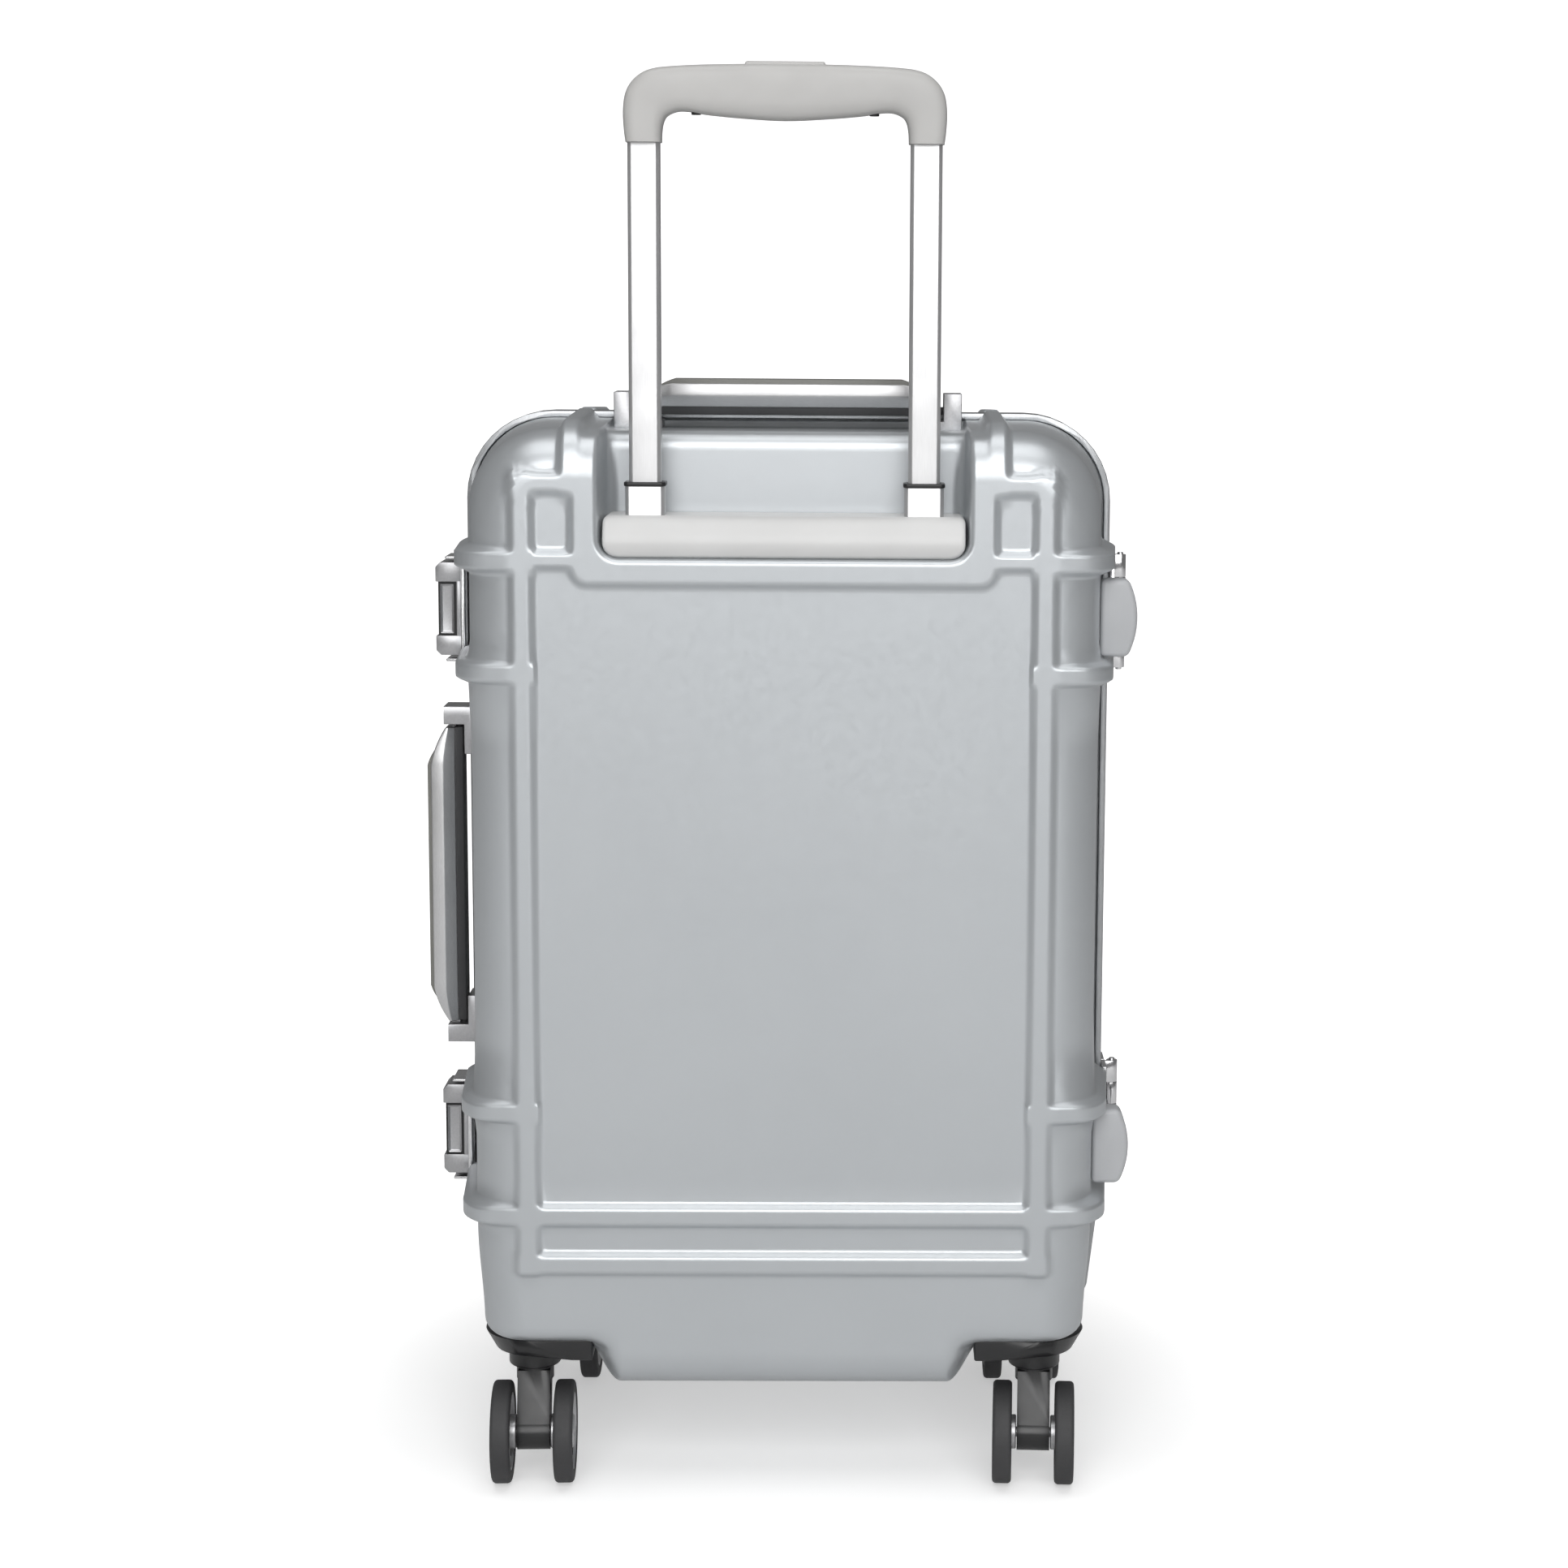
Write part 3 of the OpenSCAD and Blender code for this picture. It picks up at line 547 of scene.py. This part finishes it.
def handle_part(half_length, z0, z1, half0, half1, taper, edge, waist_z=None, half_waist=None):
    """A long block in the handle's frame, lower face half0 deep, upper half1, ends drawn in.
    With waist_z it has a ridge along both sides there, half_waist from the middle."""
    bm = bmesh.new()
    bmesh.ops.create_cube(bm, size=2)
    bmesh.ops.scale(bm, vec=(half_length, 1, 1), verts=bm.verts)
    for v in bm.verts:
        top = v.co.z > 0
        v.co = Vector((v.co.x, v.co.y * (half1 if top else half0), z1 if top else z0))
    if waist_z:
        made = bmesh.ops.bisect_plane(bm, geom=bm.verts[:] + bm.edges[:] + bm.faces[:], dist=1e-6,
                                      plane_co=(0, 0, waist_z), plane_no=(0, 0, 1))
        for v in [g for g in made["geom_cut"] if isinstance(g, bmesh.types.BMVert)]:
            v.co.y = math.copysign(half_waist, v.co.y)
    for i in range(1, 8):
        for s in (-1, 1):
            bmesh.ops.bisect_plane(bm, geom=bm.verts[:] + bm.edges[:] + bm.faces[:], dist=1e-6,
                                   plane_co=(s * (half_length - taper * i / 8), 0, 0), plane_no=(1, 0, 0))
    for v in bm.verts:
        u = max(0, (abs(v.co.x) - half_length + taper) / taper)
        bow = 0.25 * u + 0.75 * u ** 2
        v.co.y *= 1 - 0.30 * bow
        if v.co.z > 12:
            v.co.z -= 9 * bow * (v.co.z - 12) / 11.6
    bmesh.ops.scale(bm, vec=(MM, MM, MM), verts=bm.verts)
    edges = [e for e in bm.edges if e.calc_face_angle() > math.radians(24)]
    bmesh.ops.bevel(bm, geom=edges, offset=edge * MM, segments=3, profile=0.5, affect="EDGES",
                    clamp_overlap=True, material=-1)
    return bm

low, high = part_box("top_handle_bar")
top_frame = Matrix.Translation(((low.x + high.x) / 2, (low.y + high.y) / 2, low.z - 4.3 * MM))
low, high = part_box("side_handle_bar")
side_frame = (Matrix.Translation((high.x + 6 * MM, (low.y + high.y) / 2, (low.z + high.z) / 2))
              @ Matrix.Rotation(-math.pi / 2, 4, "Y"))
for where, turn, band in (("top", top_frame, brushed_band_x_painted_dark), ("side", side_frame, brushed_band_z_painted_light)):
    node = where + "_handle_bar"
    core = handle_part(75.4, 5.6, 9.8, 7, 9, 20, 0.5)
    bmesh.ops.create_cone(core, cap_ends=True, segments=24, radius1=2 * MM, radius2=2 * MM, depth=162.8 * MM,
                          matrix=Matrix.Translation((0, 0, 7.9 * MM)) @ Matrix.Rotation(math.pi / 2, 4, "Y"))
    bmesh.ops.transform(core, matrix=turn, verts=core.verts)
    settle(where + "_handle_core", core, charcoal, body_of[node], (node,))
    outer = handle_part(75.4, 9.4, 21.4, 9.6, 12.6, 21, 0.6, 15.2, 13)
    bmesh.ops.transform(outer, matrix=turn, verts=outer.verts)
    settle(where + "_handle_band", outer, band, body_of[node])
    strip = handle_part(70, 20.6, 23.6, 10.6, 9.4, 15.6, 1.0)
    bmesh.ops.transform(strip, matrix=turn, verts=strip.verts)
    pad_node = where + "_handle_pad"
    settle(where + "_handle_strip", strip, soft_strip, body_of[pad_node], (pad_node,))
brackets = broken_edges(from_cad("handle_brackets"), 1.6, 2, 60)
BRACKET_FACE = -0.1722  # no bracket stands further out than this
for v in brackets.verts:
    v.co.x = max(v.co.x, BRACKET_FACE)
settle("brackets", brackets, cast_silver, body_of["handle_brackets"], ("handle_brackets",))

# --- Latches ---------------------------------------------------------------------
# Cast bodies on steel plates with outward lips; a lever turns on a pin between two ears
# and its claw holds the keeper on the other half.
plate_steel = metal("plate_steel", (0.74, 0.74, 0.75), 0.22)
refined("latch_plates", "latch_back_plates", plate_steel, 0.5, 3)

def block(bm, low, high):
    made = bmesh.ops.create_cube(bm, size=1)["verts"]
    bmesh.ops.scale(bm, vec=[(b - a) * MM for a, b in zip(low, high)], verts=made)
    bmesh.ops.translate(bm, vec=[(a + b) / 2 * MM for a, b in zip(low, high)], verts=made)
    return made

# Ears with chamfered corners; between them a cover with a sunk panel, in a gap whose darkness is painted shade: a
# thin black plate behind the cover.
LATCH_HEIGHTS = (435.5, 166.6)
EAR_FACE, EAR_MIDDLE, EAR_HALF = -177.0, 18.5, 4.9
ears, gap_shade = bmesh.new(), bmesh.new()
for z in LATCH_HEIGHTS:
    for s in (-1, 1):
        ear = z + s * EAR_MIDDLE
        block(ears, (EAR_FACE, -20, ear - EAR_HALF), (-164.4, -0.6, ear + EAR_HALF))
corners = [e for e in ears.edges
           if all(v.co.x < (EAR_FACE + 0.1) * MM for v in e.verts) and e.verts[0].co.z == e.verts[1].co.z
           and min(abs(abs(e.verts[0].co.z - z * MM) - (EAR_MIDDLE + EAR_HALF) * MM) for z in LATCH_HEIGHTS) < 1e-5]
bmesh.ops.bevel(ears, geom=corners, offset=2.4 * MM, segments=1, profile=0.5, affect="EDGES", material=-1)
for z in LATCH_HEIGHTS:
    block(ears, (-166.6, -20, z - 14), (-164.4, -0.6, z + 14))
    cover = block(ears, (-174.7, -20, z - 12.4), (-167.8, -18.6, z + 12.4))
    face = [f for f in ears.faces if all(v in cover for v in f.verts) and f.normal.y < -0.9]
    bmesh.ops.inset_individual(ears, faces=face, thickness=1.4 * MM, depth=-0.9 * MM)
    # painted shade: a black plate behind the cover darkens the gap round it
    block(gap_shade, (-175.8, -18.95, z - 13.5), (-166.6, -18.65, z + 13.5))
settle("latch_ears_and_covers", broken_edges(ears, 0.35, 2, 30), cast_silver, body_of["latch_bodies"],
       ("latch_bodies",))
settle("latch_gap_shade", gap_shade, black_plastic, body_of["latch_bodies"])
refined("latch_pins", "latch_pivots", ground_steel, 0.2)
refined("latch_keepers", "keepers", cast_silver, 0.4)
refined("latch_lever_upper", "lever_upper", cast_silver, 0.8, 2, 60)
refined("latch_lever_lower", "lever_lower", cast_silver, 0.8, 2, 60)

# --- Hinges and side feet --------------------------------------------------------
# Polished steel leaves with rolled knuckles on a pin; two moulded feet beside them.
polished_steel = metal("polished_steel", (0.76, 0.76, 0.77), 0.13)
foot_plastic = moulded("foot_plastic", (0.47, 0.48, 0.495), 0.42, 1500, 0.08, 0.03)
refined("hinge_leaves_back", "hinge_back", polished_steel, 0.35)
refined("hinge_leaves_front", "hinge_front", polished_steel, 0.35)
refined("hinge_pins", "hinge_pivots", polished_steel, 0.3)
refined("side_feet", "feet", foot_plastic, 2.6, 4, 40)

# --- Casters ---------------------------------------------------------------------
# Black moulded housings under the corners; a fork swivels in each cup and carries two
# wheels on one axle, each a silver hub inside a rubber tyre, with black slabs on the hub's faces as painted shade for
# its windows.
caster_black = moulded("caster_black", (0.010, 0.010, 0.011), 0.34, 1500, 0.08, 0.1, 0.3)
tyre_rubber = moulded("tyre_rubber", (0.045, 0.045, 0.047), 0.62, 900, 0.35)
hub_silver = moulded("hub_silver", (0.60, 0.60, 0.61), 0.32, 1500, 0.05, 0.03, 0.0, 0.8)
refined("caster_housings_back", "caster_cups_back", caster_black, 1.2, 3, 30)
refined("caster_housings_front", "caster_cups_front", caster_black, 1.2, 3, 30)

def turned(outline, steps=64):
    """A closed outline of radius and offset pairs, turned round the Z axis."""
    bm = bmesh.new()
    verts = [bm.verts.new((r * MM, 0, h * MM)) for r, h in outline]
    edges = [bm.edges.new((verts[i - 1], verts[i])) for i in range(len(verts))]
    bmesh.ops.spin(bm, geom=verts + edges, cent=(0, 0, 0), axis=(0, 0, 1), angle=2 * math.pi, steps=steps,
                   use_merge=True)
    bmesh.ops.remove_doubles(bm, verts=bm.verts, dist=1e-6)
    bmesh.ops.recalc_face_normals(bm, faces=bm.faces)
    return bm

def rounded(r0, r1, h0, h1, round_out, round_in=0.3):
    """A rectangle of the turned outline, its outer corners rounded."""
    points = []
    for r, h, radius, start in ((r1, h1, round_out, 0), (r0, h1, round_in, 1),
                                (r0, h0, round_in, 2), (r1, h0, round_out, 3)):
        for i in range(6):
            a = (start + i / 5) * math.pi / 2
            cr = r - radius if r == r1 else r + radius
            ch = h - radius if h == h1 else h + radius
            points.append((cr + radius * math.cos(a), ch + radius * math.sin(a)))
    return points

for corner in ("back_left", "back_right", "front_left", "front_right"):
    refined("fork_" + corner, "swivel_fork_" + corner, caster_black, 1.6, 3, 40)
    refined("axle_" + corner, "wheel_axle_" + corner, ground_steel, 0.4, 3)
    for which in ("inner", "outer"):
        tyre_node = f"tyre_{corner}_{which}"
        axle_low, axle_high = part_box("axle_" + corner)
        low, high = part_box(tyre_node)
        hub_at = (low + high) / 2
        away = hub_at - (axle_low + axle_high) / 2
        pose = Matrix.Translation(hub_at) @ away.to_track_quat("Z", "Y").to_matrix().to_4x4()
        tyre = turned(rounded(19.4, 25.5, -4.8, 4.8, 2.0))
        bmesh.ops.transform(tyre, matrix=pose, verts=tyre.verts)
        settle(tyre_node + "_ring", tyre, tyre_rubber, body_of[tyre_node], (tyre_node,), 60)
        hub = turned([(2.55, -7.0), (8.0, -7.0), (8.5, -6.5), (8.5, -3.4), (10, -3.0), (17.4, -3.0), (18.2, -4.4),
                      (19.5, -4.4), (19.5, 4.4), (18.2, 4.4), (17.2, 3.0), (9.0, 3.0), (7.6, 4.6), (2.55, 4.6)])
        bmesh.ops.transform(hub, matrix=pose, verts=hub.verts)
        hub_node = f"hub_{corner}_{which}"
        settle(hub_node + "_disc", hub, hub_silver, body_of[tyre_node], (hub_node,), 40)
        # painted shade: black slabs on both hub faces stand for the dark of its windows
        window_shade = bmesh.new()
        for i in range(6):
            for face in (-3.05, 3.05):
                slot = bmesh.ops.create_cube(window_shade, size=MM)["verts"]
                bmesh.ops.scale(window_shade, vec=(6.4, 4.2, 0.5), verts=slot)
                for v in slot:
                    v.co.y *= 0.75 + 0.09 * v.co.x / MM
                bmesh.ops.translate(window_shade, vec=(13.4 * MM, 0, face * MM), verts=slot)
                bmesh.ops.rotate(window_shade, cent=(0, 0, 0), matrix=Matrix.Rotation(i * math.pi / 3, 3, "Z"), verts=slot)
        bmesh.ops.transform(window_shade, matrix=pose, verts=window_shade.verts)
        settle(hub_node + "_window_shade", window_shade, caster_black, body_of[tyre_node])

# --- Lining ----------------------------------------------------------------------
# Woven polyester stretched over boards in both halves, and a webbing strap with a buckle.
def woven(name, color, pitch):
    """Cloth with a fine wavy weave and a matt, fuzzy face."""
    material, tree, shader = node_material(name, color, 0.0, 0.8)
    place = tree.nodes.new("ShaderNodeTexCoord")
    weave = tree.nodes.new("ShaderNodeTexWave")
    weave.inputs["Scale"].default_value = pitch
    weave.inputs["Distortion"].default_value = 1.2
    weave.inputs["Detail"].default_value = 2
    tree.links.new(place.outputs["Object"], weave.inputs["Vector"])
    toned(tree, weave, shader.inputs["Base Color"], tuple(c * 0.8 for c in color), tuple(c * 1.15 for c in color))
    fuzz = grain(tree, 700, 3)
    toned(tree, fuzz, shader.inputs["Roughness"], 0.75, 0.9)
    bumped(tree, shader, weave, 0.3, 0.0003)
    return material

lining = woven("lining", (0.035, 0.038, 0.045), 420)
webbing = woven("webbing", (0.015, 0.015, 0.017), 700)
for node, name in (("back_liner", "liner_panel"), ("front_divider", "divider_panel")):
    low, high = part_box(node)
    cloth = bmesh.new()
    bmesh.ops.create_grid(cloth, x_segments=60, y_segments=80, size=1)
    for v in cloth.verts:
        across, up = v.co.x, v.co.y
        bulge = 0.35 * math.cos(across * math.pi / 2) * math.cos(up * math.pi / 2)
        quilt = 0.12 * abs(math.sin(across * 12)) * abs(math.sin(up * 16))
        v.co = Vector(((low.x + high.x) / 2 + across * (high.x - low.x) / 2,
                       (low.y + high.y) / 2 - (bulge + quilt) * MM, (low.z + high.z) / 2 + up * (high.z - low.z) / 2))
    panel = settle(name, cloth, lining, body_of[node], (node,))
    thick = panel.modifiers.new("board", "SOLIDIFY")
    thick.thickness = 0.0008
    thick.offset = 0

STRAP_WIDTH = 0.025
low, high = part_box("packing_straps")
buckle = bmesh.new()
bmesh.ops.create_cube(buckle, size=1)
bmesh.ops.scale(buckle, vec=(0.036, 0.005, 0.033), verts=buckle.verts)
bmesh.ops.translate(buckle, vec=(0, low.y + 0.0025, (low.z + high.z) / 2), verts=buckle.verts)
settle("strap_buckle", broken_edges(buckle, 1.2, 3), black_plastic, body_of["packing_straps"],
       ("packing_straps",))
for side, x0, x1 in (("left", low.x, -0.0182), ("right", 0.0182, high.x)):
    band = bmesh.new()
    bmesh.ops.create_grid(band, x_segments=50, y_segments=6, size=1)
    for v in band.verts:
        v.co = Vector(((x0 + x1) / 2 + v.co.x * (x1 - x0) / 2, low.y + (0.8 + 0.25 * math.sin(v.co.x * 9)) * MM,
                       (low.z + high.z) / 2 + v.co.y * STRAP_WIDTH / 2))
    strap = settle("strap_" + side, band, webbing, body_of["packing_straps"])
    thick = strap.modifiers.new("weave", "SOLIDIFY")
    thick.thickness = 0.0007
    thick.offset = 0
